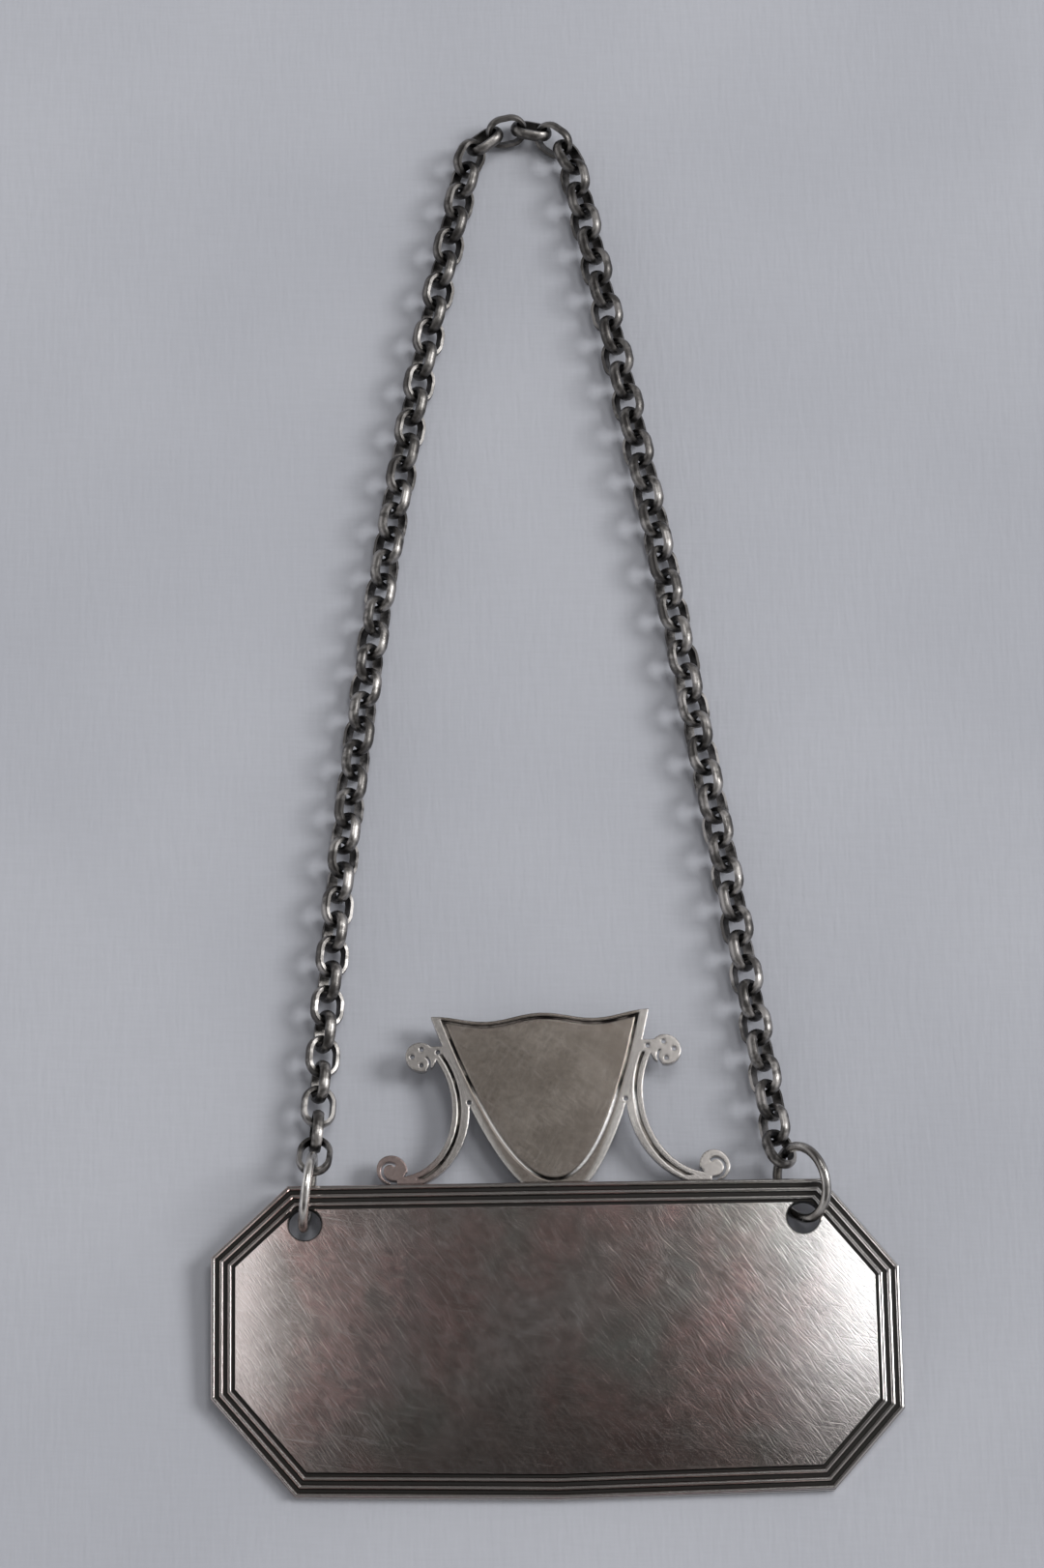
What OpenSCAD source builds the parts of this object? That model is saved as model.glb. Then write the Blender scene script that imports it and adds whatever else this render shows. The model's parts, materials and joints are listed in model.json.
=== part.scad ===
// Silver wine label: an octagonal reeded plate with a shield-and-scroll surmount, hung on two rings
// from a belcher chain. It lies on a table, face up: +X to the right, +Y from the plate to the top of
// the chain, +Z up. The origin is on the table under the middle of the plate. Sizes are millimetres.

/* [Plate] */
// Width of the plate across its two short sides
plate_w = 50; // [40:0.5:60]
// Height of the plate between its two long sides
plate_h = 22.8; // [20:0.1:28]
// Thickness of the plate
plate_t = 0.8; // [0.6:0.05:1]
// How far the long bottom side bows out in the middle
bottom_bow = 0.4; // [0.1:0.05:0.8]
// Angle at which the rings under its top edge prop the plate up from the table
plate_lean = 2.8; // [2.2:0.1:3.4]

/* [Cut corners] */
// Top left corner, along the long side
cut_top_left_x = 5.6; // [4:0.1:8]
// Top left corner, along the short side
cut_top_left_y = 5.2; // [4:0.1:8]
// Top right corner, along the long side
cut_top_right_x = 5.4; // [4:0.1:8]
// Top right corner, along the short side
cut_top_right_y = 6.6; // [4:0.1:8]
// Bottom left corner, along the long side
cut_bottom_left_x = 6.1; // [4:0.1:8]
// Bottom left corner, along the short side
cut_bottom_left_y = 7.2; // [4:0.1:8]
// Bottom right corner, along the long side
cut_bottom_right_x = 5.2; // [4:0.1:8]
// Bottom right corner, along the short side
cut_bottom_right_y = 5.8; // [4:0.1:8]

/* [Reeded border] */
// Number of reeds round the plate
reeds = 3; // [2:1:3]
// Distance from one reed to the next
reed_pitch = 0.6; // [0.5:0.02:0.64]
// Width of the groove beside each reed
groove_w = 0.24; // [0.15:0.01:0.3]
// Depth of the grooves under the face of the plate
groove_depth = 0.18; // [0.1:0.01:0.25]
// Height of the reeds over the face of the plate
reed_rise = 0.04; // [0:0.01:0.1]

/* [Ring holes] */
// Diameter of the two ring holes
hole_d = 2.4; // [2.3:0.05:2.5]
// Distance of each hole from the middle of the plate
hole_x = 18.15; // [16:0.05:19]
// Distance of the holes below the top side
hole_drop = 2.9; // [2.85:0.05:3.1]

/* [Surmount] */
// Thickness of the surmount
surmount_t = 0.6; // [0.4:0.05:0.62]
// Place of the surmount's middle along the plate
surmount_x = 0.1; // [-2:0.1:2]
// Height of the surmount above the plate
surmount_h = 12.8; // [11:0.1:15]
// Width of the shield across its top corners
shield_w = 16.1; // [13:0.1:18]
// Depth of the two hollows in the shield's top
shield_dip = 0.55; // [0.2:0.05:1]
// How far the shield's point would reach below the plate's top side
shield_point = 1.3; // [0.8:0.05:2]
// Width of the surmount between its two hollow sides
waist_w = 14; // [12.6:0.1:15]
// Height of the waist above the plate
waist_h = 6.15; // [5:0.05:7]
// How far the hollow sides run out beyond the waist
scroll_reach = 4.5; // [3.5:0.1:5.5]
// Width of the two arms where they leave the shield
arm_w = 1.25; // [1:0.05:1.5]
// Width of the two arms where they reach the plate
arm_foot = 0.9; // [0.7:0.05:1.2]
// Radius of the four volutes that end the hollow sides
volute_r = 1.12; // [0.9:0.02:1.3]
// How far the lower volutes stand out beyond the hollow sides
volute_step = 0.3; // [0:0.05:0.6]
// Width of the slot that curls into each volute
volute_slot = 0.2; // [0.12:0.01:0.3]
// Diameter of the drilled dots
dot_d = 0.34; // [0.2:0.02:0.4]
// Angle by which the hand-cut surmount slants to the left
surmount_slant = 4; // [0:0.5:6]
// Angle by which its top climbs to the right
surmount_climb = 1.4; // [0:0.1:3]
// Width of the engraved lines
line_w = 0.24; // [0.15:0.01:0.3]
// Depth of the engraved lines
line_depth = 0.12; // [0.05:0.01:0.2]
// Distance of the shield's line from its top
line_drop = 0.24; // [0.2:0.02:0.4]
// Distance of the shield's line from its top corners, sideways
line_in = 0.65; // [0.5:0.05:0.8]
// Distance of the lowest point of the shield's line from the plate
line_lift = 0.12; // [0.1:0.02:0.3]
// Distance of the arms' lines from the hollow sides
arm_line_in = 0.4; // [0.3:0.02:0.5]

/* [Rings] */
// Outside diameter of the rings
ring_d = 6; // [5.8:0.05:6.3]
// Diameter of the ring wire
ring_wire = 0.7; // [0.6:0.02:0.76]
// Sideways lean of the left ring
left_lean = 0; // [-10:1:10]
// Sideways lean of the right ring
right_lean = 38; // [34:1:40]
// Turn of the left ring towards the chain
left_turn = -8; // [-12:1:0]
// Turn of the right ring towards the chain
right_turn = 2; // [0:1:3]

/* [Chain links] */
// Links in each leg of the chain, six to a band
leg_links = 42; // [36:6:48]
// Links in the bend at the top of the chain
bend_links = 6; // [4:2:8]
// Step from link to link
link_step = 1.94; // [1.88:0.01:1.98]
// Inside radius of a link's round ends
link_r = 0.92; // [0.9:0.01:0.96]
// Length of the straight between a link's round ends
link_straight = 0.66; // [0.62:0.01:0.72]
// Breadth of the half-round link wire
wire_b = 0.78; // [0.7:0.02:0.8]
// Thickness of the half-round link wire
wire_t = 0.4; // [0.36:0.02:0.42]
// Radius of the round outside of the link wire
wire_crown = 0.56; // [0.5:0.01:1]

/* [Lay of the chain] */
// Angle below each ring's middle at which its first link hangs
hang_angle = 20; // [15:1:25]
// Play of the first link on its ring
hang_play = 0.36; // [0.32:0.01:0.4]
// Place of the bend's middle along X
bend_x = -1.2; // [-4:0.1:4]
// Sideways bow of the left leg at mid height
left_bow = -1.6; // [-3:0.1:3]
// Sideways bow of the right leg at mid height
right_bow = 0.6; // [-3:0.1:3]
// Slow twist of the links along each leg
lay_twist = 12; // [0:1:15]
// Gap left under the rings and the lowest links
table_gap = 0.02; // [0:0.01:0.1]

/* [Hidden] */
LEFT = -1;
RIGHT = 1;
pair = 2;
leg_nodes = leg_links / pair;
bend_nodes = bend_links / pair;
function two_digits(n) = n < 10 ? str("0", n) : str(n);
function leg_name(side, n) = str(side == LEFT ? "left" : "right", "_links_", two_digits(n));
function bend_name(n) = str("top_links_", two_digits(n));
round_fn = 64;
cut_over = 1;

// Plate: the corners of its outline, in the plate's own plane, clockwise from the top left
half_w = plate_w / 2;
half_h = plate_h / 2;
plate_outline = [
  [-half_w + cut_top_left_x, half_h],
  [half_w - cut_top_right_x, half_h],
  [half_w, half_h - cut_top_right_y],
  [half_w, -half_h + cut_bottom_right_y],
  [half_w - cut_bottom_right_x, -half_h],
  [0, -half_h - bottom_bow],
  [-half_w + cut_bottom_left_x, -half_h],
  [-half_w, -half_h + cut_bottom_left_y],
  [-half_w, half_h - cut_top_left_y],
];
plate_foot = -half_h - bottom_bow;
hole_y = half_h - hole_drop;

// A point of the plate's plane, at a height over its back, put in its place over the table
function on_table(p) = [
  p.x,
  plate_foot + (p.y - plate_foot) * cos(plate_lean) - p.z * sin(plate_lean),
  (p.y - plate_foot) * sin(plate_lean) + p.z * cos(plate_lean)
];

// An outline moved inwards by d, with mitred corners; its points run clockwise
function edge_normal(a, b) = [b.y - a.y, a.x - b.x] / norm(b - a);
function inset(points, d) = [
  for (i = [0 : len(points) - 1])
    let (
      before = points[(i + len(points) - 1) % len(points)],
      after = points[(i + 1) % len(points)],
      n1 = edge_normal(before, points[i]),
      n2 = edge_normal(points[i], after)
    )
    points[i] + d * (n1 + n2) / (1 + n1 * n2)
];

// Border: [distance in from the edge, height] across the reeds, from the edge to the face
reed_steps = 6;
reed_w = reed_pitch - groove_w;
groove_z = plate_t - groove_depth;
border_profile = concat(
  [
    for (k = [0 : reeds - 1], s = [0 : reed_steps])
      let (a = 180 * s / reed_steps)
      [k * reed_pitch + reed_w / 2 * (1 - cos(a)), groove_z + (groove_depth + reed_rise) * sin(a)]
  ],
  [[reeds * reed_pitch - groove_w / 4, groove_z], [reeds * reed_pitch, plate_t]]
);

// A closed solid through loops of equally many points, one above or inside the other
module lofted(loops) {
  n = len(loops[0]);
  last = len(loops) - 1;
  sides = [
    for (k = [0 : last - 1], i = [0 : n - 1])
      let (j = (i + 1) % n)
      [k * n + i, k * n + j, (k + 1) * n + j, (k + 1) * n + i]
  ];
  bottom = [for (i = [n - 1 : -1 : 0]) i];
  top = [for (i = [0 : n - 1]) last * n + i];
  points = [for (loop = loops, p = loop) p];
  polyhedron(points, concat([bottom], sides, [top]));
}

module lean_on_table() {
  translate([0, plate_foot, 0]) rotate([plate_lean, 0, 0]) translate([0, -plate_foot, 0]) children();
}

module label_plate() {
  back = [for (p = plate_outline) [p.x, p.y, 0]];
  front = [for (b = border_profile) [for (p = inset(plate_outline, b[0])) [p.x, p.y, b[1]]]];
  color("#8c8480") lean_on_table() difference() {
    lofted(concat([back], front));
    for (side = [LEFT, RIGHT])
      translate([side * hole_x, hole_y, -cut_over])
        cylinder(d = hole_d, h = plate_t + 2 * cut_over, $fn = round_fn);
  }
}

// Surmount: drawn upright over the middle of its seat, then slanted as it was cut
scroll_x = waist_w / 2 + scroll_reach;
scroll_rise = waist_h - volute_r / 2;
curve_steps = 24;
edge_soft = 0.06;
function slanted(points) = [
  for (p = points)
    [
      surmount_x + p.x - p.y * tan(surmount_slant),
      half_h + p.y + p.x * tan(surmount_climb) * p.y / surmount_h
    ]
];

// The shield: its sides are parabolas, and its top has two shallow hollows
function shield_half(y, w, point) = w / 2 * sqrt((y + point) / (surmount_h + point));
function shield_top(x) = surmount_h - shield_dip * pow(sin(360 * x / shield_w), 2);
function shield_side(side, w, foot, point, drop) = [
  for (s = [0 : curve_steps])
    let (y = foot + (surmount_h - drop - foot) * pow(s / curve_steps, 2))
    [side * shield_half(y, w, point), y]
];
function reversed(points) = [for (i = [len(points) - 1 : -1 : 0]) points[i]];
function shield_outline(w, foot, point, drop) = concat(
  shield_side(LEFT, w, foot, point, drop),
  [for (s = [1 : curve_steps - 1]) let (x = w / 2 * (2 * s / curve_steps - 1)) [x, shield_top(x) - drop]],
  reversed(shield_side(RIGHT, w, foot, point, drop))
);

// Each side of the surmount is hollowed by an ellipse; grown sideways and down, it bounds the arm
function hollow(side, grow_x, grow_y) = [
  for (s = [0 : 2 * curve_steps - 1])
    let (a = 180 * s / curve_steps)
    [side * (scroll_x + (scroll_reach + grow_x) * cos(a)), waist_h + (scroll_rise + grow_y) * sin(a)]
];

// The hollow sides end in volutes: the upper ones curl outwards, the lower ones stand on the plate.
// A curl is the angle where its slot starts and the angle through which it winds inwards.
upper_angle = 132;
upper_curl = [250, -70];
lower_curl = [190, 300];
eye_share = 0.36;
volute_sink = 0.3;
volute_out = volute_r * (1 - volute_sink);
upper_volute = [
  scroll_x + (scroll_reach - volute_out) * cos(upper_angle),
  waist_h + (scroll_rise - volute_out) * sin(upper_angle)
];
lower_volute = [scroll_x + volute_step, volute_r];
web_top = upper_volute.y + volute_out;
function band(low, high) = [[-scroll_x, low], [-scroll_x, high], [scroll_x, high], [scroll_x, low]];

// Drilled dots: three round each upper volute, one beside it, and one where arm and shield part
dot_share = 0.55;
dot_ring = dot_share * volute_r;
dot_angles = [100, 5, -90];
dots = concat(
  [for (a = dot_angles) upper_volute + dot_ring * [cos(a), sin(a)]],
  [upper_volute + [-volute_r - dot_d / 2, dot_d], [waist_w / 2 - arm_w, waist_h]]
);

module volute(side, place, curl) {
  eye_r = eye_share * volute_r;
  spot = function (r, a) [side * (place.x + r * cos(a)), place.y + r * sin(a)];
  slot_r = function (s) volute_r - (volute_r - eye_r) * s / curve_steps;
  slot_a = function (s) curl[0] + curl[1] * s / curve_steps;
  rim = [for (s = [0 : 2 * curve_steps - 1]) spot(volute_r, 180 * s / curve_steps)];
  outer = [for (s = [0 : curve_steps]) spot(slot_r(s) + volute_slot / 2, slot_a(s))];
  inner = [for (s = [curve_steps : -1 : 0]) spot(slot_r(s) - volute_slot / 2, slot_a(s))];
  difference() {
    polygon(slanted(rim));
    polygon(slanted(concat(outer, inner)));
  }
}

module shield_face() { polygon(slanted(shield_outline(shield_w, 0, shield_point, 0))); }

module hollows(grow_x, grow_y) {
  for (side = [LEFT, RIGHT]) polygon(slanted(hollow(side, grow_x, grow_y)));
}

// The two openings between the shield, the arms and the plate
module openings() {
  difference() {
    polygon(slanted(band(-cut_over, waist_h)));
    shield_face();
    hollows(arm_w, arm_foot);
  }
}

module surmount_face() {
  offset(r = edge_soft) offset(delta = -edge_soft) {
    difference() {
      union() {
        shield_face();
        polygon(slanted(band(0, web_top)));
      }
      hollows(0, 0);
      openings();
    }
    for (side = [LEFT, RIGHT]) {
      volute(side, upper_volute, upper_curl);
      volute(side, lower_volute, lower_curl);
    }
  }
}

// Engraved lines: one inside the shield's edge, and one along each hollow side
module shield_line_edge() {
  polygon(slanted(shield_outline(shield_w - 2 * line_in, line_lift, -line_lift, line_drop)));
}

module engraved_lines() {
  difference() {
    shield_line_edge();
    offset(delta = -line_w) shield_line_edge();
  }
  difference() {
    hollows(arm_line_in + line_w, arm_line_in + line_w);
    hollows(arm_line_in, arm_line_in);
    shield_face();
    translate([-half_w, half_h + upper_volute.y]) square([plate_w, surmount_h]);
    translate([-half_w, half_h - surmount_h]) square([plate_w, surmount_h + arm_line_in]);
  }
}

module surmount() {
  color("#7d766e") lean_on_table() difference() {
    linear_extrude(surmount_t) surmount_face();
    translate([0, 0, surmount_t - line_depth]) linear_extrude(cut_over) engraved_lines();
    for (side = [LEFT, RIGHT], p = slanted([for (d = dots) [side * d.x, d.y]]))
      translate([p.x, p.y, -cut_over]) cylinder(d = dot_d, h = surmount_t + 2 * cut_over, $fn = 16);
  }
}

// Rings: each stands on the table, its wire through its hole, leaning by lean about its own reach
ring_r = (ring_d - ring_wire) / 2;
hole_left = on_table([-hole_x, hole_y, plate_t / 2]);
hole_right = on_table([hole_x, hole_y, plate_t / 2]);
function ring_rise(lean) =
  let (k = hole_left.z - ring_wire / 2 - table_gap, c = pow(cos(lean), 2))
  asin((sqrt(k * k - c * (k * k - ring_r * ring_r * c)) - k) / (ring_r * c));

module ring(place, lean, turn) {
  color("#c9c6c2") translate(place) rotate([0, 0, turn]) rotate([ring_rise(lean), 0, 0]) rotate([0, lean, 0])
    translate([0, ring_r, 0]) rotate([0, 90, 0])
      rotate_extrude($fn = round_fn) translate([ring_r, 0]) circle(d = ring_wire, $fn = 32);
}

module left_ring() { ring(hole_left, left_lean, left_turn); }
module right_ring() { ring(hole_right, right_lean, right_turn); }

// Chain: where its links lie
edge_t = wire_t - wire_crown + sqrt(pow(wire_crown, 2) - pow(wire_b / 2, 2));
link_half = link_straight / 2 + link_r;
lay_tilt = 45;
twist_waves = 1.5;
steepest = lay_tilt + lay_twist;
chain_z = (link_r + edge_t) * sin(steepest) + wire_b / 2 * cos(steepest) + table_gap;
function ring_middle(place, lean, turn) =
  let (rise = ring_rise(lean))
  place + ring_r * [-cos(rise) * sin(turn), cos(rise) * cos(turn), sin(rise)];
left_middle = ring_middle(hole_left, left_lean, left_turn);
right_middle = ring_middle(hole_right, right_lean, right_turn);
hang_from = ring_middle(hole_left, left_lean, 0);
hang_reach = ring_r + link_half - ring_wire / 2 - hang_play;
first_link = hang_from + hang_reach * [0, cos(hang_angle), -sin(hang_angle)];
lift_fade = 0.5;
tilt_fade = 0.7;
bend_r = link_step / (2 * sin(90 / (bend_links + 1)));

// The first link lies in the plane of its ring: its place along X
function hang_x(middle, lean, turn) =
  let (
    rise = ring_rise(lean),
    across = [cos(lean), sin(lean) * sin(rise), -sin(lean) * cos(rise)],
    normal = [
      across.x * cos(turn) - across.y * sin(turn),
      across.x * sin(turn) + across.y * cos(turn),
      across.z
    ],
    away = first_link - middle
  )
  middle.x - (normal.y * away.y + normal.z * away.z) / normal.x;
left_start = hang_x(left_middle, left_lean, left_turn);
right_start = hang_x(right_middle, right_lean, right_turn);

// A place along a leg; i may lie between two links
function leg_point(side, i) =
  let (
    t = (i - 1) / (leg_links - 1),
    start = side == LEFT ? left_start : right_start,
    end = bend_x + side * bend_r,
    bow = side == LEFT ? left_bow : right_bow
  )
  [
    start + (end - start) * t + bow * 4 * t * (1 - t),
    first_link.y + link_step * (i - 1),
    chain_z + (first_link.z - chain_z) * pow(lift_fade, i - 1)
  ];

// Turn of a link about the chain: the first is square to its ring, and they soon lie on their sides
function leg_tilt(side, i) =
  let (lean = side == LEFT ? left_lean : right_lean)
  (i % 2 == 1 ? lay_tilt : -lay_tilt)
    + (lean - lay_tilt) * pow(tilt_fade, i - 1)
    + lay_twist * side * sin(360 * twist_waves * i / leg_links);

module link() {
  for (end = [0, 180]) rotate(end) {
    translate([0, link_straight / 2, 0])
      rotate_extrude(angle = 180, $fn = round_fn) translate([link_r, 0]) link_section();
    translate([0, -link_straight / 2, 0])
      rotate([-90, 0, 0]) linear_extrude(link_straight) translate([link_r, 0]) link_section();
  }
}

module link_section() {
  intersection() {
    translate([0, -wire_b / 2]) square([wire_t, wire_b]);
    translate([wire_t - wire_crown, 0]) circle(r = wire_crown, $fn = round_fn);
  }
}

// The way a link points; the first points half along the leg, half away from its ring
function unit(v) = v / norm(v);
function leg_aim(side, i) = unit(leg_point(side, i + 0.5) - leg_point(side, i - 0.5));
function ring_aim(side) = unit(leg_point(side, 1) - (side == LEFT ? left_middle : right_middle));

module leg_link(side, i) {
  ahead = i == 1 ? leg_aim(side, i) + ring_aim(side) : leg_aim(side, i);
  rise = atan2(ahead.z, norm([ahead.x, ahead.y]));
  translate(leg_point(side, i)) rotate([rise, 0, atan2(-ahead.x, ahead.y)])
    rotate([0, leg_tilt(side, i), 0]) link();
}

module bend_link(j) {
  a = 180 * (1 - j / (bend_links + 1));
  middle = [bend_x, leg_point(LEFT, leg_links).y, chain_z];
  translate(middle + bend_r * [cos(a), sin(a), 0]) rotate(a - 180)
    rotate([0, (j + leg_links) % 2 == 1 ? lay_tilt : -lay_tilt, 0]) link();
}

module leg_links_pair(side, n) {
  color("#5c5856") for (i = [pair * n - 1, pair * n]) leg_link(side, i);
}

module top_links_pair(n) {
  color("#5c5856") for (j = [pair * n - 1, pair * n]) bend_link(j);
}

label_plate();
surmount();
left_ring();
right_ring();
for (n = [1 : leg_nodes]) leg_links_pair(LEFT, n);
for (n = [1 : leg_nodes]) leg_links_pair(RIGHT, n);
for (n = [1 : bend_nodes]) top_links_pair(n);
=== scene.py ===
"""A silver wine label on its chain, lying face up on a pale cloth under soft studio light."""
import json
import math
import bpy
from mathutils import Matrix, Vector


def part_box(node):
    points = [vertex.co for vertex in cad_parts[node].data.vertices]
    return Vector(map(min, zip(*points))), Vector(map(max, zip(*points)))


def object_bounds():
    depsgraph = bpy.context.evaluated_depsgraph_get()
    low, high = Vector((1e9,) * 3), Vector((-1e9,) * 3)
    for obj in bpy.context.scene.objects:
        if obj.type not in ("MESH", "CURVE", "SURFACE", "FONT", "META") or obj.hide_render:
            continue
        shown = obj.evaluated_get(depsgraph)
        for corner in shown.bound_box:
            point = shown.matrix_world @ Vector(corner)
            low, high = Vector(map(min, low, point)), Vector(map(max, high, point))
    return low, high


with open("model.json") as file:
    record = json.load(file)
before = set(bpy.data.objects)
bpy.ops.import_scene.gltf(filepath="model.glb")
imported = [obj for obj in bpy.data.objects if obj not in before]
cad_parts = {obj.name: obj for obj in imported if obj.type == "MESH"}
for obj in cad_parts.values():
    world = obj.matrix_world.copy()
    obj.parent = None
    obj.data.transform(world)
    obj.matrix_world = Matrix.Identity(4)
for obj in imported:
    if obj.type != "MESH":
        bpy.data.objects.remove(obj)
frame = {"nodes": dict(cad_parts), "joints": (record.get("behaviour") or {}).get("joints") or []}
cad_low, cad_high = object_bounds()
nodes = frame["nodes"]
MM = 0.001

# Camera of the photograph: its focal length in pixels of the picture, its tilt and its place
PHOTO_H_PX = 1622
FOCAL_PX = 5200
VIEW_DOWN = math.radians(70)
VIEW_TURN = math.radians(0.9)
CAMERA_PLACE = Vector((-3.84, -86.78, 356.46)) * MM
CAMERA_NEAR = 10 * MM
SENSOR_H_MM = 24

# A patch is noise with blobs of a size; it begins and is full at the two ends of its span.
# A coat is a colour that lies over others, as strongly as its share.
GRAIN = {"size": 0.3 * MM, "detail": 4.0}
WIPE_LINE = {"size": 0.12 * MM, "span": (0.48, 0.78), "detail": 2.0}
FINE_BUMP = 0.5
UP_SPAN = (0.3, 0.8)
HOLLOW_SAMPLES = 8
EDGE_SAMPLES = 6

# The plate leans on its rings; heights over its back tell its grooves, reeds and outer walls apart
PLATE_LEAN = math.radians(2.8)
PLATE_T = 0.8 * MM
PLATE_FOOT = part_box("label_plate")[0].y
GROOVE_DEPTH = 0.18 * MM
GROOVE_SPAN = (0.2, 0.7)
WALL_SPAN = (1.0, 1.1)
REED_SPAN = (PLATE_T + 0.005 * MM, PLATE_T + 0.03 * MM)
HOLE_R = 1.2 * MM
HOLE_SPAN = (HOLE_R + 0.15 * MM, HOLE_R + 0.03 * MM)
HOLE_AT = Vector(next(j["pos_m"] for j in frame["joints"] if j["name"] == "right_ring_swing"))

# Finish of the plate: its tarnished field, painted highlights at its two ends, painted shade towards its
# foot, its border, and its holes with dirt and painted shade
FIELD_LIGHT = (0.58, 0.53, 0.505)
FIELD_DARK = (0.44, 0.39, 0.37)
FIELD_PATCH = {"size": 11 * MM, "span": (0.35, 0.65)}
WARM = {"colour": (0.54, 0.385, 0.365)}
WARM_PATCH = {"size": 7 * MM, "span": (0.38, 0.6), "detail": 5.0, "stretch": (1, 1.6, 1), "turn": 0.4}
COOL = {"colour": (0.40, 0.405, 0.375)}
COOL_PATCH = {"size": 9 * MM, "span": (0.5, 0.7), "stretch": (1.5, 1, 1), "turn": 0.9}
MOTTLE = {"colour": (0.30, 0.25, 0.235), "share": 0.55}
MOTTLE_PATCH = {"size": 1.2 * MM, "span": (0.4, 0.6), "detail": 5.0, "rough": 0.7}
# Painted highlights: the plate is lighter at both ends, where the softboxes reflect in it
RIGHT_END_HIGHLIGHT = {"colour": (0.70, 0.695, 0.695), "share": 0.85}
RIGHT_HIGHLIGHT_X = (12 * MM, 22 * MM)
LEFT_END_HIGHLIGHT = {"colour": (0.76, 0.68, 0.665), "share": 0.7}
LEFT_HIGHLIGHT_X = (-18.5 * MM, -22.5 * MM)
# Painted shade: the field darker towards the foot
LOW_END_SHADE = {"colour": (0.24, 0.19, 0.175), "share": 0.5}
LOW_SHADE_Y = (PLATE_FOOT + 11 * MM, PLATE_FOOT + 2 * MM)
PLATE_WIPE = {"colour": (0.72, 0.69, 0.67), "share": 0.4}
PLATE_WIPE_LENGTH = 22
PLATE_WIPE_TURNS = (0.8, 0.55, 1.4)
GROOVE = (0.015, 0.014, 0.013)
REED = (0.42, 0.405, 0.39)
WALL = (0.66, 0.635, 0.61)
# Dirt and painted shade on the walls and lips of the ring holes
HOLE_DIRT_AND_SHADE = (0.02, 0.019, 0.018)
PLATE_ROUGH = 0.1
PLATE_ROUGH_SWING = 0.07
GROOVE_ROUGH = 0.3
PLATE_EDGE_R = 0.04 * MM
PLATE_GRAIN_DEPTH = 0.0016 * MM
DENT = {"size": 6 * MM, "detail": 1.0}
DENT_DEPTH = 0.02 * MM
DENT_BUMP = 0.6

# The surmount stands on the plate's top edge and slants; its shield lies inside an engraved line
SURMOUNT_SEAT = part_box("label_plate")[1].y
SURMOUNT_SLANT = math.radians(4)
SURMOUNT_T = 0.6 * MM
SHIELD_H = 12.8 * MM
SHIELD_HALF_W = 7.4 * MM
SHIELD_POINT = 1.3 * MM
SHIELD_SPAN = (-0.2 * MM, 0.3 * MM)
LINE_DEPTH = 0.12 * MM
LINE_SPAN = (0.1, 0.6)

# Finish of the surmount: a brown shield, brighter arms, lines that are black above, and a painted highlight
# on the rim and lines of the shield's lower sides, brightest on the right
SHIELD_LIGHT = (0.235, 0.207, 0.184)
SHIELD_DARK = (0.19, 0.164, 0.144)
SHIELD_PATCH = {"size": 3 * MM, "span": (0.35, 0.65), "detail": 4.0}
ARM = (0.36, 0.34, 0.325)
LINE_BLACK = (0.012, 0.011, 0.01)
LINE_GREY = (0.16, 0.145, 0.13)
LINE_PATCH = {"size": 1.6 * MM, "span": (0.4, 0.65)}
# Painted highlight on the rim and engraved lines of the shield's lower sides, brightest on the right, where
# the window reflects
RIM_HIGHLIGHT = (0.5, 0.48, 0.46)
LINE_HIGHLIGHT_LEFT = (0.4, 0.385, 0.37)
LINE_HIGHLIGHT_RIGHT = (0.85, 0.84, 0.82)
MIDDLE_X = (-1 * MM, 1 * MM)
HIGHLIGHT_INNER_X = (0.8 * MM, 2.2 * MM)
HIGHLIGHT_OUTER_X = (6.6 * MM, 5.8 * MM)
HIGHLIGHT_Y = (SURMOUNT_SEAT + 7.5 * MM, SURMOUNT_SEAT + 5 * MM)
SCROLL = {"colour": (0.19, 0.11, 0.1), "share": 0.6}
SCROLL_X = (-7 * MM, -10 * MM)
SCROLL_Y = (SURMOUNT_SEAT + 4 * MM, SURMOUNT_SEAT + 2 * MM)
SURMOUNT_WIPE = {"colour": (0.6, 0.58, 0.56), "share": 0.12}
SURMOUNT_WIPE_LENGTH = 25
SURMOUNT_WIPE_TURNS = (0.9, -0.5)
SURMOUNT_ROUGH = 0.16
SURMOUNT_ROUGH_SWING = 0.1
SURMOUNT_EDGE_R = 0.15 * MM
SURMOUNT_GRAIN_DEPTH = 0.001 * MM

# Finish of the rings; the right ring's darker colours are painted shade on the same silver as the left ring
RINGS = {
    "left_ring": {"dull": (0.42, 0.40, 0.38), "bright": (0.74, 0.72, 0.69)},
    # darker than the left ring: painted shade
    "right_ring": {"dull": (0.2, 0.19, 0.18), "bright": (0.44, 0.425, 0.405)},
}
RING_PATCH = {"size": 2.2 * MM, "span": (0.4, 0.6)}
RING_DRAWN = {"size": 0.2 * MM}
# Painted shade where a ring lies close to the plate, the chain and the cloth
RING_SHADE = (0.06, 0.055, 0.05)
RING_HOLLOW_REACH = 0.5 * MM
RING_ROUGH = 0.14
RING_ROUGH_SWING = 0.2
DRAWN_DEPTH = 0.006 * MM

# Finish of the chain, which is blacker towards its top
CHAIN_DULL = (0.1, 0.0945, 0.09)
CHAIN_BRIGHT = (0.37, 0.353, 0.338)
CHAIN_PATCH = {"size": 1.4 * MM, "span": (0.42, 0.6)}
CHAIN_DRAWN = {"size": 0.18 * MM}
CHAIN_TOP = {"colour": (0.07, 0.066, 0.063), "share": 0.5}
CHAIN_TOP_Y = (52 * MM, 82 * MM)
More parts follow.
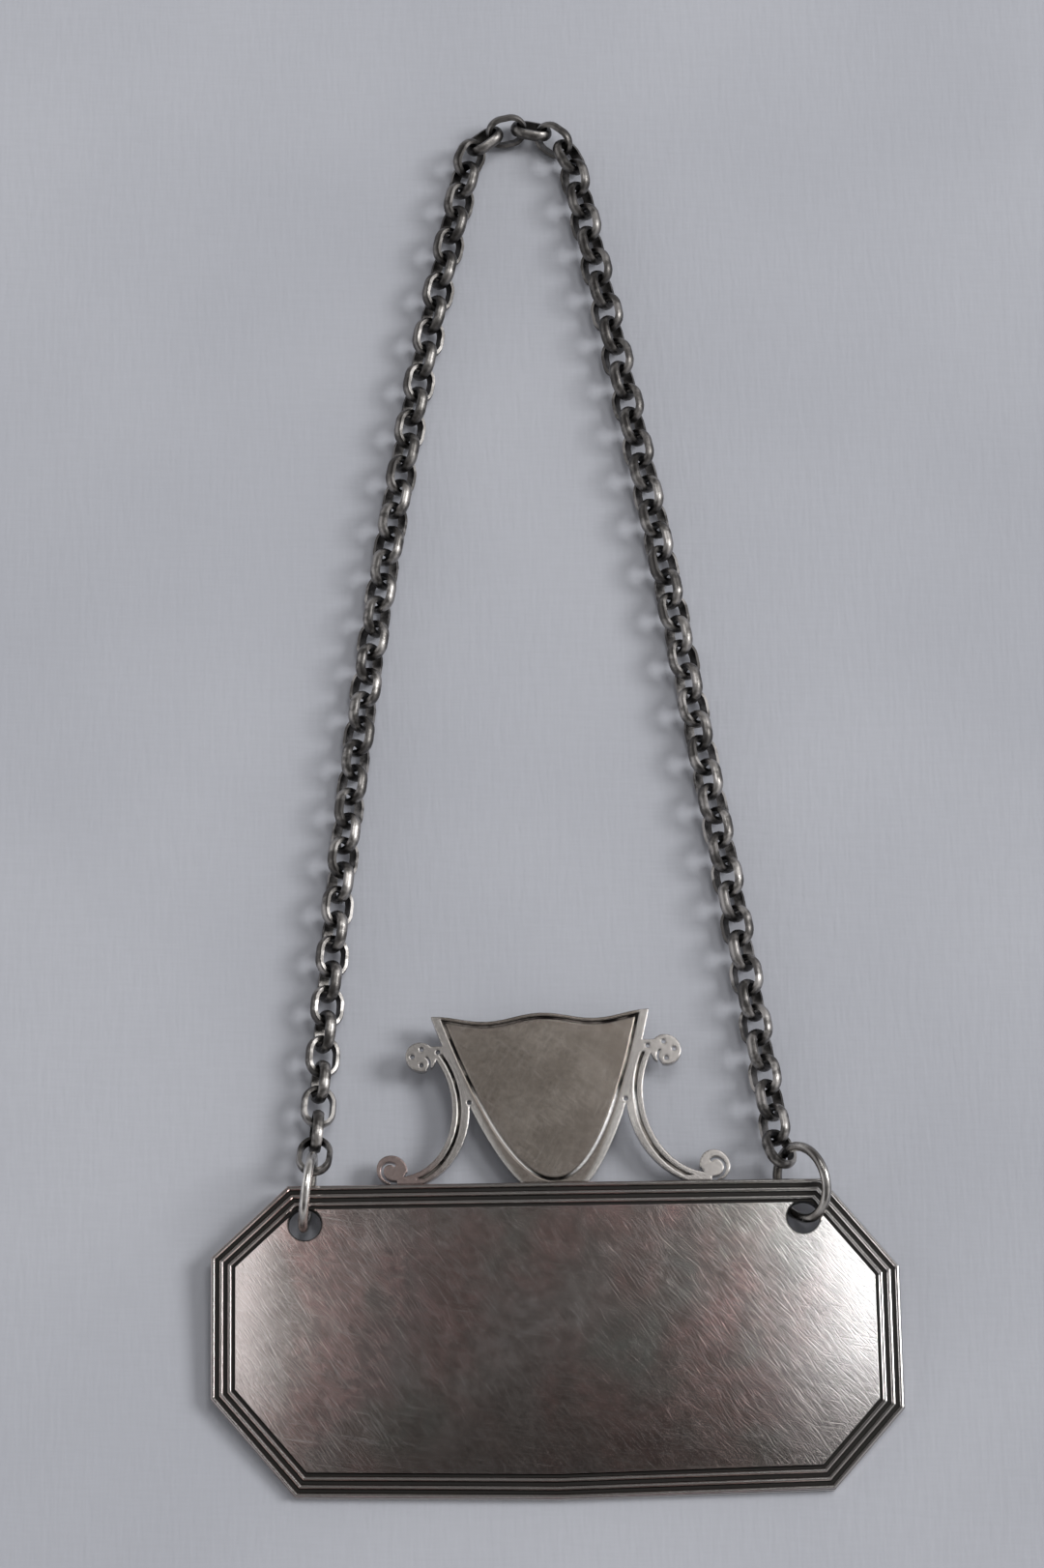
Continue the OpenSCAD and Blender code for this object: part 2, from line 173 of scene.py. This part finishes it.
# Tarnish and painted shade inside the links, where links lie close together and on the cloth
CHAIN_TARNISH_AND_SHADE = (0.03, 0.028, 0.026)
CHAIN_HOLLOW_REACH = 0.9 * MM
CHAIN_OPEN_SPAN = (0.55, 1.0)
CHAIN_ROUGH = 0.24
CHAIN_ROUGH_SWING = 0.25

# The cloth: half its width in metres, its threads and its colours
CLOTH_HALF_W = 10
CLOTH_DARK = (0.46, 0.472, 0.515)
CLOTH_LIGHT = (0.51, 0.522, 0.565)
CLOTH_PATCH = {"size": 40 * MM, "span": (0.3, 0.7), "detail": 2.0}
CLOTH_ROUGH = 0.95
CLOTH_SPECULAR = 0.1
THREAD = {"size": 0.45 * MM, "detail": 1.0}
THREAD_LENGTH = 6
WEAVE = {"colour": (0.40, 0.41, 0.44), "share": 0.12}
WEAVE_SPAN = (0.3, 0.7)
WEAVE_DEPTH = 0.05 * MM
WEAVE_BUMP = 0.3

# The window on the right is a sun lamp; two softboxes overhead show in the ends of the plate
KEY_STRENGTH = 1.5
KEY_SPREAD = math.radians(22)
KEY_UP = math.radians(38)
KEY_TURN = math.radians(8)
SOFTBOXES = {
    "right_softbox": {
        "place": (0.117, 0.204, 0.5),
        "width": 0.16,
        "length": 0.25,
        "turn": math.radians(12),
        "watts": 0.6,
    },
    "left_softbox": {
        "place": (-0.126, 0.108, 0.5),
        "width": 0.16,
        "length": 0.12,
        "turn": math.radians(-10),
        "watts": 0.105,
    },
}

# The room: colours of its walls and ceiling, and the directions between which one fades into the next
ROOM_FRONT = (0.016, 0.015, 0.015)
ROOM_TOP = (0.06, 0.056, 0.056)
TOP_FROM_Y = (0.08, 0.19)
ROOM_NEAR = (0.3, 0.295, 0.295)
NEAR_FROM_Y = (-0.02, -0.12)
ROOM_BACK = (0.24, 0.235, 0.235)
BACK_FROM_Y = (0.4, 0.6)
ROOM_LOW = (0.6, 0.595, 0.6)
LOW_FROM_Z = (0.45, 0.2)
ROOM_LEFT = (0.9, 0.9, 0.92)
LEFT_FROM_X = (-0.5, -0.9)
ROOM_RIGHT = (1.0, 1.0, 1.02)
RIGHT_FROM_X = (0.2, 0.9)
CEILING_FROM_Z = (0.55, 0.95)


def add_camera():
    forward = Vector((
        math.sin(VIEW_TURN) * math.cos(VIEW_DOWN),
        math.cos(VIEW_TURN) * math.cos(VIEW_DOWN),
        -math.sin(VIEW_DOWN),
    ))
    right = Vector((math.cos(VIEW_TURN), -math.sin(VIEW_TURN), 0))
    up = right.cross(forward)
    data = bpy.data.cameras.new("photo_camera")
    data.sensor_fit = "VERTICAL"
    data.sensor_height = SENSOR_H_MM
    data.lens = SENSOR_H_MM * FOCAL_PX / PHOTO_H_PX
    data.clip_start = CAMERA_NEAR
    camera = bpy.data.objects.new("photo_camera", data)
    turn = Matrix((right, up, -forward)).transposed().to_4x4()
    camera.matrix_world = Matrix.Translation(CAMERA_PLACE) @ turn
    bpy.context.scene.collection.objects.link(camera)
    bpy.context.scene.camera = camera


class Nodes:
    """Adds shader nodes to a tree and links them, so that a material reads as a list of steps."""

    def __init__(self, tree):
        self.tree = tree

    def put(self, kind, inputs=None, **settings):
        node = self.tree.nodes.new(kind)
        for key, value in settings.items():
            setattr(node, key, value)
        for key, value in (inputs or {}).items():
            self.feed(node.inputs[key], value)
        return node

    def feed(self, socket, value):
        if isinstance(value, bpy.types.NodeSocket):
            self.tree.links.new(value, socket)
        else:
            socket.default_value = value

    def math(self, operation, a, b=0.0, c=0.0):
        node = self.put("ShaderNodeMath", operation=operation)
        for socket, value in zip(node.inputs, (a, b, c)):
            self.feed(socket, value)
        return node.outputs[0]

    def ramp(self, value, low, high):
        """0 below low, 1 above high, smooth between; low may be the larger."""
        node = self.put("ShaderNodeMapRange", {"Value": value, "From Min": low, "From Max": high})
        node.interpolation_type = "SMOOTHSTEP"
        return node.outputs["Result"]

    def mix(self, mask, a, b):
        """Colour a where the mask is 0, colour b where it is 1."""
        node = self.put("ShaderNodeMix", data_type="RGBA")
        for key, value in (("Factor_Float", mask), ("A_Color", a), ("B_Color", b)):
            socket = next(s for s in node.inputs if s.identifier == key)
            self.feed(socket, value if isinstance(value, bpy.types.NodeSocket) else (*value, 1))
        return next(s for s in node.outputs if s.identifier == "Result_Color")

    def coat(self, base, mask, colour, share=None):
        """Lays a colour over a base where the mask is."""
        if share is not None:
            mask = self.math("MULTIPLY", mask, share)
        return self.mix(mask, base, colour)

    def split(self, vector):
        """The X, Y and Z of a vector."""
        return self.put("ShaderNodeSeparateXYZ", {"Vector": vector}).outputs

    def coordinates(self, kind="Object"):
        return self.put("ShaderNodeTexCoord").outputs[kind]

    def place(self, stretch=(1, 1, 1), turn=0.0):
        """Object coordinates for a pattern that is turned about Z and longer by stretch on its own axes."""
        inputs = {"Vector": self.coordinates(), "Scale": stretch, "Rotation": (0, 0, turn)}
        return self.put("ShaderNodeMapping", inputs, vector_type="TEXTURE").outputs[0]

    def noise(self, size, detail=3.0, rough=0.55, **where):
        """Noise whose blobs are about size metres across."""
        inputs = {"Vector": self.place(**where), "Scale": 1 / size, "Detail": detail, "Roughness": rough}
        return self.put("ShaderNodeTexNoise", inputs).outputs["Fac"]

    def patch(self, span, **pattern):
        """Noise that is 0 below its span and 1 above it."""
        return self.ramp(self.noise(**pattern), *span)

    def hollow(self, reach):
        """1 in the open, falling to 0 in corners and hollows within reach."""
        inputs = {"Distance": reach}
        return self.put("ShaderNodeAmbientOcclusion", inputs, samples=HOLLOW_SAMPLES).outputs["AO"]

    def worn_edge(self, radius):
        """The normal of a surface whose sharp edges are rubbed round."""
        return self.put("ShaderNodeBevel", {"Radius": radius}, samples=EDGE_SAMPLES).outputs[0]

    def bump(self, height, depth, strength, normal=None):
        inputs = {"Height": height, "Distance": depth, "Strength": strength}
        if normal is not None:
            inputs["Normal"] = normal
        return self.put("ShaderNodeBump", inputs).outputs[0]


def new_material(name):
    material = bpy.data.materials.new(name)
    material.use_nodes = True
    shader = material.node_tree.nodes["Principled BSDF"]
    shader.inputs["Metallic"].default_value = 1.0
    return material, Nodes(material.node_tree), shader


def wipes(n, length, turns):
    """Hairlines of old polishing in a few directions, from 0 to 1; length is in widths of a line."""
    total = None
    for turn in turns:
        lines = n.patch(stretch=(1, length, 1), turn=turn, **WIPE_LINE)
        total = lines if total is None else n.math("MAXIMUM", total, lines)
    return total


def facing_up(n):
    """1 on faces that look up, 0 on walls."""
    return n.ramp(n.split(n.coordinates("Normal"))["Z"], *UP_SPAN)


def height_on_plate(n):
    """Height over the leaning plate's back."""
    at = n.split(n.coordinates())
    along = n.math("SUBTRACT", at["Y"], PLATE_FOOT)
    drop = n.math("MULTIPLY", along, math.sin(PLATE_LEAN))
    return n.math("SUBTRACT", n.math("MULTIPLY", at["Z"], math.cos(PLATE_LEAN)), drop)


def cut_into(n, height, top, depth, span):
    """0 at the top of a sheet, 1 in what is cut into it; the span is in shares of the depth."""
    return n.ramp(height, top - depth * span[0], top - depth * span[1])


def hole_dirt_and_shade(n):
    """1 on the walls and lips of the two ring holes, where dirt and painted shade darken them; 0 elsewhere.
    """
    at = n.split(n.coordinates())
    across = n.math("SUBTRACT", n.math("ABSOLUTE", at["X"]), HOLE_AT.x)
    along = n.math("SUBTRACT", at["Y"], HOLE_AT.y)
    square = n.math("ADD", n.math("MULTIPLY", across, across), n.math("MULTIPLY", along, along))
    return n.ramp(n.math("SQRT", square), *HOLE_SPAN)


def plate_silver():
    """Worn silver: a warm brown tarnish over the field, rubbed reeds, black in the grooves; painted
    highlights at the two ends, painted shade towards the foot, dirt and painted shade in the ring holes.
    """
    material, n, shader = new_material("plate_silver")
    at = n.split(n.coordinates())
    height = height_on_plate(n)
    groove = cut_into(n, height, PLATE_T, GROOVE_DEPTH, GROOVE_SPAN)
    wall = cut_into(n, height, PLATE_T, GROOVE_DEPTH, WALL_SPAN)
    reed = n.ramp(height, *REED_SPAN)
    grain = n.noise(**GRAIN)
    lines = wipes(n, PLATE_WIPE_LENGTH, PLATE_WIPE_TURNS)
    silver = n.mix(n.patch(**FIELD_PATCH), FIELD_LIGHT, FIELD_DARK)
    silver = n.coat(silver, n.patch(**WARM_PATCH), **WARM)
    silver = n.coat(silver, n.patch(**COOL_PATCH), **COOL)
    silver = n.coat(silver, n.patch(**MOTTLE_PATCH), **MOTTLE)
    # painted highlights at the two ends
    silver = n.coat(silver, n.ramp(at["X"], *RIGHT_HIGHLIGHT_X), **RIGHT_END_HIGHLIGHT)
    silver = n.coat(silver, n.ramp(at["X"], *LEFT_HIGHLIGHT_X), **LEFT_END_HIGHLIGHT)
    # painted shade towards the foot
    silver = n.coat(silver, n.ramp(at["Y"], *LOW_SHADE_Y), **LOW_END_SHADE)
    silver = n.coat(silver, lines, **PLATE_WIPE)
    # the ring holes get dirt and painted shade
    for mask, colour in ((groove, GROOVE), (reed, REED), (wall, WALL), (hole_dirt_and_shade(n), HOLE_DIRT_AND_SHADE)):
        silver = n.mix(mask, silver, colour)
    n.feed(shader.inputs["Base Color"], silver)
    rough = n.math("MULTIPLY_ADD", grain, PLATE_ROUGH_SWING, PLATE_ROUGH)
    n.feed(shader.inputs["Roughness"], n.math("MULTIPLY_ADD", groove, GROOVE_ROUGH, rough))
    dents = n.bump(n.noise(**DENT), DENT_DEPTH, DENT_BUMP, n.worn_edge(PLATE_EDGE_R))
    scratched = n.math("SUBTRACT", grain, lines)
    n.feed(shader.inputs["Normal"], n.bump(scratched, PLATE_GRAIN_DEPTH, FINE_BUMP, dents))
    return material


def inside_shield(n):
    """1 inside the shield's engraved line, 0 outside it; the surmount slants, and its sides are parabolas."""
    at = n.split(n.coordinates())
    rise = n.math("SUBTRACT", at["Y"], SURMOUNT_SEAT)
    across = n.math("MULTIPLY_ADD", rise, math.tan(SURMOUNT_SLANT), at["X"])
    share = n.math("DIVIDE", n.math("ADD", rise, SHIELD_POINT), SHIELD_H + SHIELD_POINT)
    half = n.math("MULTIPLY", n.math("SQRT", n.math("MAXIMUM", share, 0.0)), SHIELD_HALF_W)
    return n.ramp(n.math("SUBTRACT", half, n.math("ABSOLUTE", across)), *SHIELD_SPAN)


def highlit_low_sides(n, at):
    """1 on the lower sides of the shield's rim, where a highlight is painted; 0 at its tip, higher up and on
    the arms.
    """
    side = n.math("ABSOLUTE", at["X"])
    across = n.math("MULTIPLY", n.ramp(side, *HIGHLIGHT_INNER_X), n.ramp(side, *HIGHLIGHT_OUTER_X))
    return n.math("MULTIPLY", across, n.ramp(at["Y"], *HIGHLIGHT_Y))


def surmount_silver():
    """Thin cut sheet: a browner shield between brighter arms, with tarnish left in the engraved lines and a
    painted highlight on the rim and lines of the shield's lower sides.
    """
    material, n, shader = new_material("surmount_silver")
    at = n.split(n.coordinates())
    low = cut_into(n, height_on_plate(n), SURMOUNT_T, LINE_DEPTH, LINE_SPAN)
    engraved = n.math("MULTIPLY", low, facing_up(n))
    # painted highlight on the rim and lines of the shield's lower sides
    rubbed = highlit_low_sides(n, at)
    grain = n.noise(**GRAIN)
    lines = wipes(n, SURMOUNT_WIPE_LENGTH, SURMOUNT_WIPE_TURNS)
    shield = n.mix(n.patch(**SHIELD_PATCH), SHIELD_LIGHT, SHIELD_DARK)
    sheet = n.mix(inside_shield(n), n.mix(rubbed, ARM, RIM_HIGHLIGHT), shield)
    scroll = n.math("MULTIPLY", n.ramp(at["Y"], *SCROLL_Y), n.ramp(at["X"], *SCROLL_X))
    sheet = n.coat(sheet, scroll, **SCROLL)
    sheet = n.coat(sheet, lines, **SURMOUNT_WIPE)
    tarnish = n.mix(n.patch(**LINE_PATCH), LINE_BLACK, LINE_GREY)
    line_highlight = n.mix(n.ramp(at["X"], *MIDDLE_X), LINE_HIGHLIGHT_LEFT, LINE_HIGHLIGHT_RIGHT)
    n.feed(shader.inputs["Base Color"], n.mix(engraved, sheet, n.mix(rubbed, tarnish, line_highlight)))
    rough = n.math("MULTIPLY_ADD", grain, SURMOUNT_ROUGH_SWING, SURMOUNT_ROUGH)
    n.feed(shader.inputs["Roughness"], rough)
    scratched = n.math("SUBTRACT", grain, lines)
    edge = n.worn_edge(SURMOUNT_EDGE_R)
    n.feed(shader.inputs["Normal"], n.bump(scratched, SURMOUNT_GRAIN_DEPTH, FINE_BUMP, edge))
    return material


def ring_silver(name, dull, bright):
    """Drawn wire, bright where it is rubbed and dull where it is not, with painted shade where it lies close
    to other parts.
    """
    material, n, shader = new_material(name)
    drawn = n.noise(**RING_DRAWN)
    wire = n.mix(n.patch(**RING_PATCH), dull, bright)
    n.feed(shader.inputs["Base Color"], n.mix(n.hollow(RING_HOLLOW_REACH), RING_SHADE, wire))
    n.feed(shader.inputs["Roughness"], n.math("MULTIPLY_ADD", drawn, RING_ROUGH_SWING, RING_ROUGH))
    n.feed(shader.inputs["Normal"], n.bump(drawn, DRAWN_DEPTH, FINE_BUMP))
    return material


def chain_silver():
    """Half-round wire, nearly black with tarnish and painted shade inside the links and where they lie close
    together, and rubbed bright on their crowns.
    """
    material, n, shader = new_material("chain_silver")
    drawn = n.noise(**CHAIN_DRAWN)
    crown = n.mix(n.patch(**CHAIN_PATCH), CHAIN_DULL, CHAIN_BRIGHT)
    crown = n.coat(crown, n.ramp(n.split(n.coordinates())["Y"], *CHAIN_TOP_Y), **CHAIN_TOP)
    in_the_open = n.ramp(n.hollow(CHAIN_HOLLOW_REACH), *CHAIN_OPEN_SPAN)
    n.feed(shader.inputs["Base Color"], n.mix(in_the_open, CHAIN_TARNISH_AND_SHADE, crown))
    n.feed(shader.inputs["Roughness"], n.math("MULTIPLY_ADD", drawn, CHAIN_ROUGH_SWING, CHAIN_ROUGH))
    n.feed(shader.inputs["Normal"], n.bump(drawn, DRAWN_DEPTH, FINE_BUMP))
    return material


def dress(names, material):
    for name in names:
        slot = nodes[name].material_slots[0]
        slot.link = "OBJECT"
        slot.material = material


def pale_cloth():
    """A dull cloth with a fine weave."""
    material, n, shader = new_material("pale_cloth")
    shader.inputs["Metallic"].default_value = 0.0
    shader.inputs["Roughness"].default_value = CLOTH_ROUGH
    shader.inputs["Specular IOR Level"].default_value = CLOTH_SPECULAR
    warp = n.noise(stretch=(1, THREAD_LENGTH, 1), **THREAD)
    weft = n.noise(stretch=(THREAD_LENGTH, 1, 1), **THREAD)
    weave = n.ramp(n.math("MULTIPLY", n.math("ADD", warp, weft), 0.5), *WEAVE_SPAN)
    cloth = n.mix(n.patch(**CLOTH_PATCH), CLOTH_DARK, CLOTH_LIGHT)
    n.feed(shader.inputs["Base Color"], n.coat(cloth, weave, **WEAVE))
    n.feed(shader.inputs["Normal"], n.bump(weave, WEAVE_DEPTH, WEAVE_BUMP))
    return material


def add_floor():
    """A wide sheet of cloth under the label."""
    mesh = bpy.data.meshes.new("cloth")
    corners = [(x * CLOTH_HALF_W, y * CLOTH_HALF_W, 0) for x, y in ((-1, -1), (1, -1), (1, 1), (-1, 1))]
    mesh.from_pydata(corners, [], [(0, 1, 2, 3)])
    mesh.materials.append(pale_cloth())
    floor = bpy.data.objects.new("cloth", mesh)
    floor.location.z = cad_low.z
    bpy.context.scene.collection.objects.link(floor)


def add_softbox(name, place, width, length, turn, watts):
    """A flat lamp that faces straight down."""
    data = bpy.data.lights.new(name, "AREA")
    data.shape = "RECTANGLE"
    data.size = width
    data.size_y = length
    data.energy = watts
    light = bpy.data.objects.new(name, data)
    light.location = place
    light.rotation_euler.z = turn
    bpy.context.scene.collection.objects.link(light)


def add_key():
    """The window on the right: an even, soft-edged light that throws the shadows to the left."""
    data = bpy.data.lights.new("window", "SUN")
    data.energy = KEY_STRENGTH
    data.angle = KEY_SPREAD
    light = bpy.data.objects.new("window", data)
    level = math.cos(KEY_UP)
    to_lamp = Vector((level * math.cos(KEY_TURN), level * math.sin(KEY_TURN), math.sin(KEY_UP)))
    light.rotation_euler = to_lamp.to_track_quat("Z", "Y").to_euler()
    bpy.context.scene.collection.objects.link(light)


def add_room():
    """A room with pale walls left and right, and a ceiling that is dark but for its near part."""
    world = bpy.data.worlds.new("room")
    bpy.context.scene.world = world
    world.use_nodes = True
    n = Nodes(world.node_tree)
    way = n.split(n.coordinates("Generated"))
    ceiling = n.mix(n.ramp(way["Y"], *TOP_FROM_Y), ROOM_FRONT, ROOM_TOP)
    ceiling = n.mix(n.ramp(way["Y"], *NEAR_FROM_Y), ceiling, ROOM_NEAR)
    walls = n.mix(n.ramp(way["Y"], *BACK_FROM_Y), ROOM_TOP, ROOM_BACK)
    walls = n.mix(n.ramp(way["Z"], *LOW_FROM_Z), walls, ROOM_LOW)
    walls = n.mix(n.ramp(way["X"], *LEFT_FROM_X), walls, ROOM_LEFT)
    walls = n.mix(n.ramp(way["X"], *RIGHT_FROM_X), walls, ROOM_RIGHT)
    room = n.mix(n.ramp(way["Z"], *CEILING_FROM_Z), walls, ceiling)
    n.feed(world.node_tree.nodes["Background"].inputs["Color"], room)


add_camera()
add_floor()
add_room()
add_key()
for name, softbox in SOFTBOXES.items():
    add_softbox(name, **softbox)
dress(["label_plate"], plate_silver())
dress(["surmount"], surmount_silver())
for name, finish in RINGS.items():
    dress([name], ring_silver(f"{name}_silver", **finish))
dress([name for name in nodes if "_links_" in name], chain_silver())

view = bpy.context.scene.view_settings
view.view_transform = "Standard"
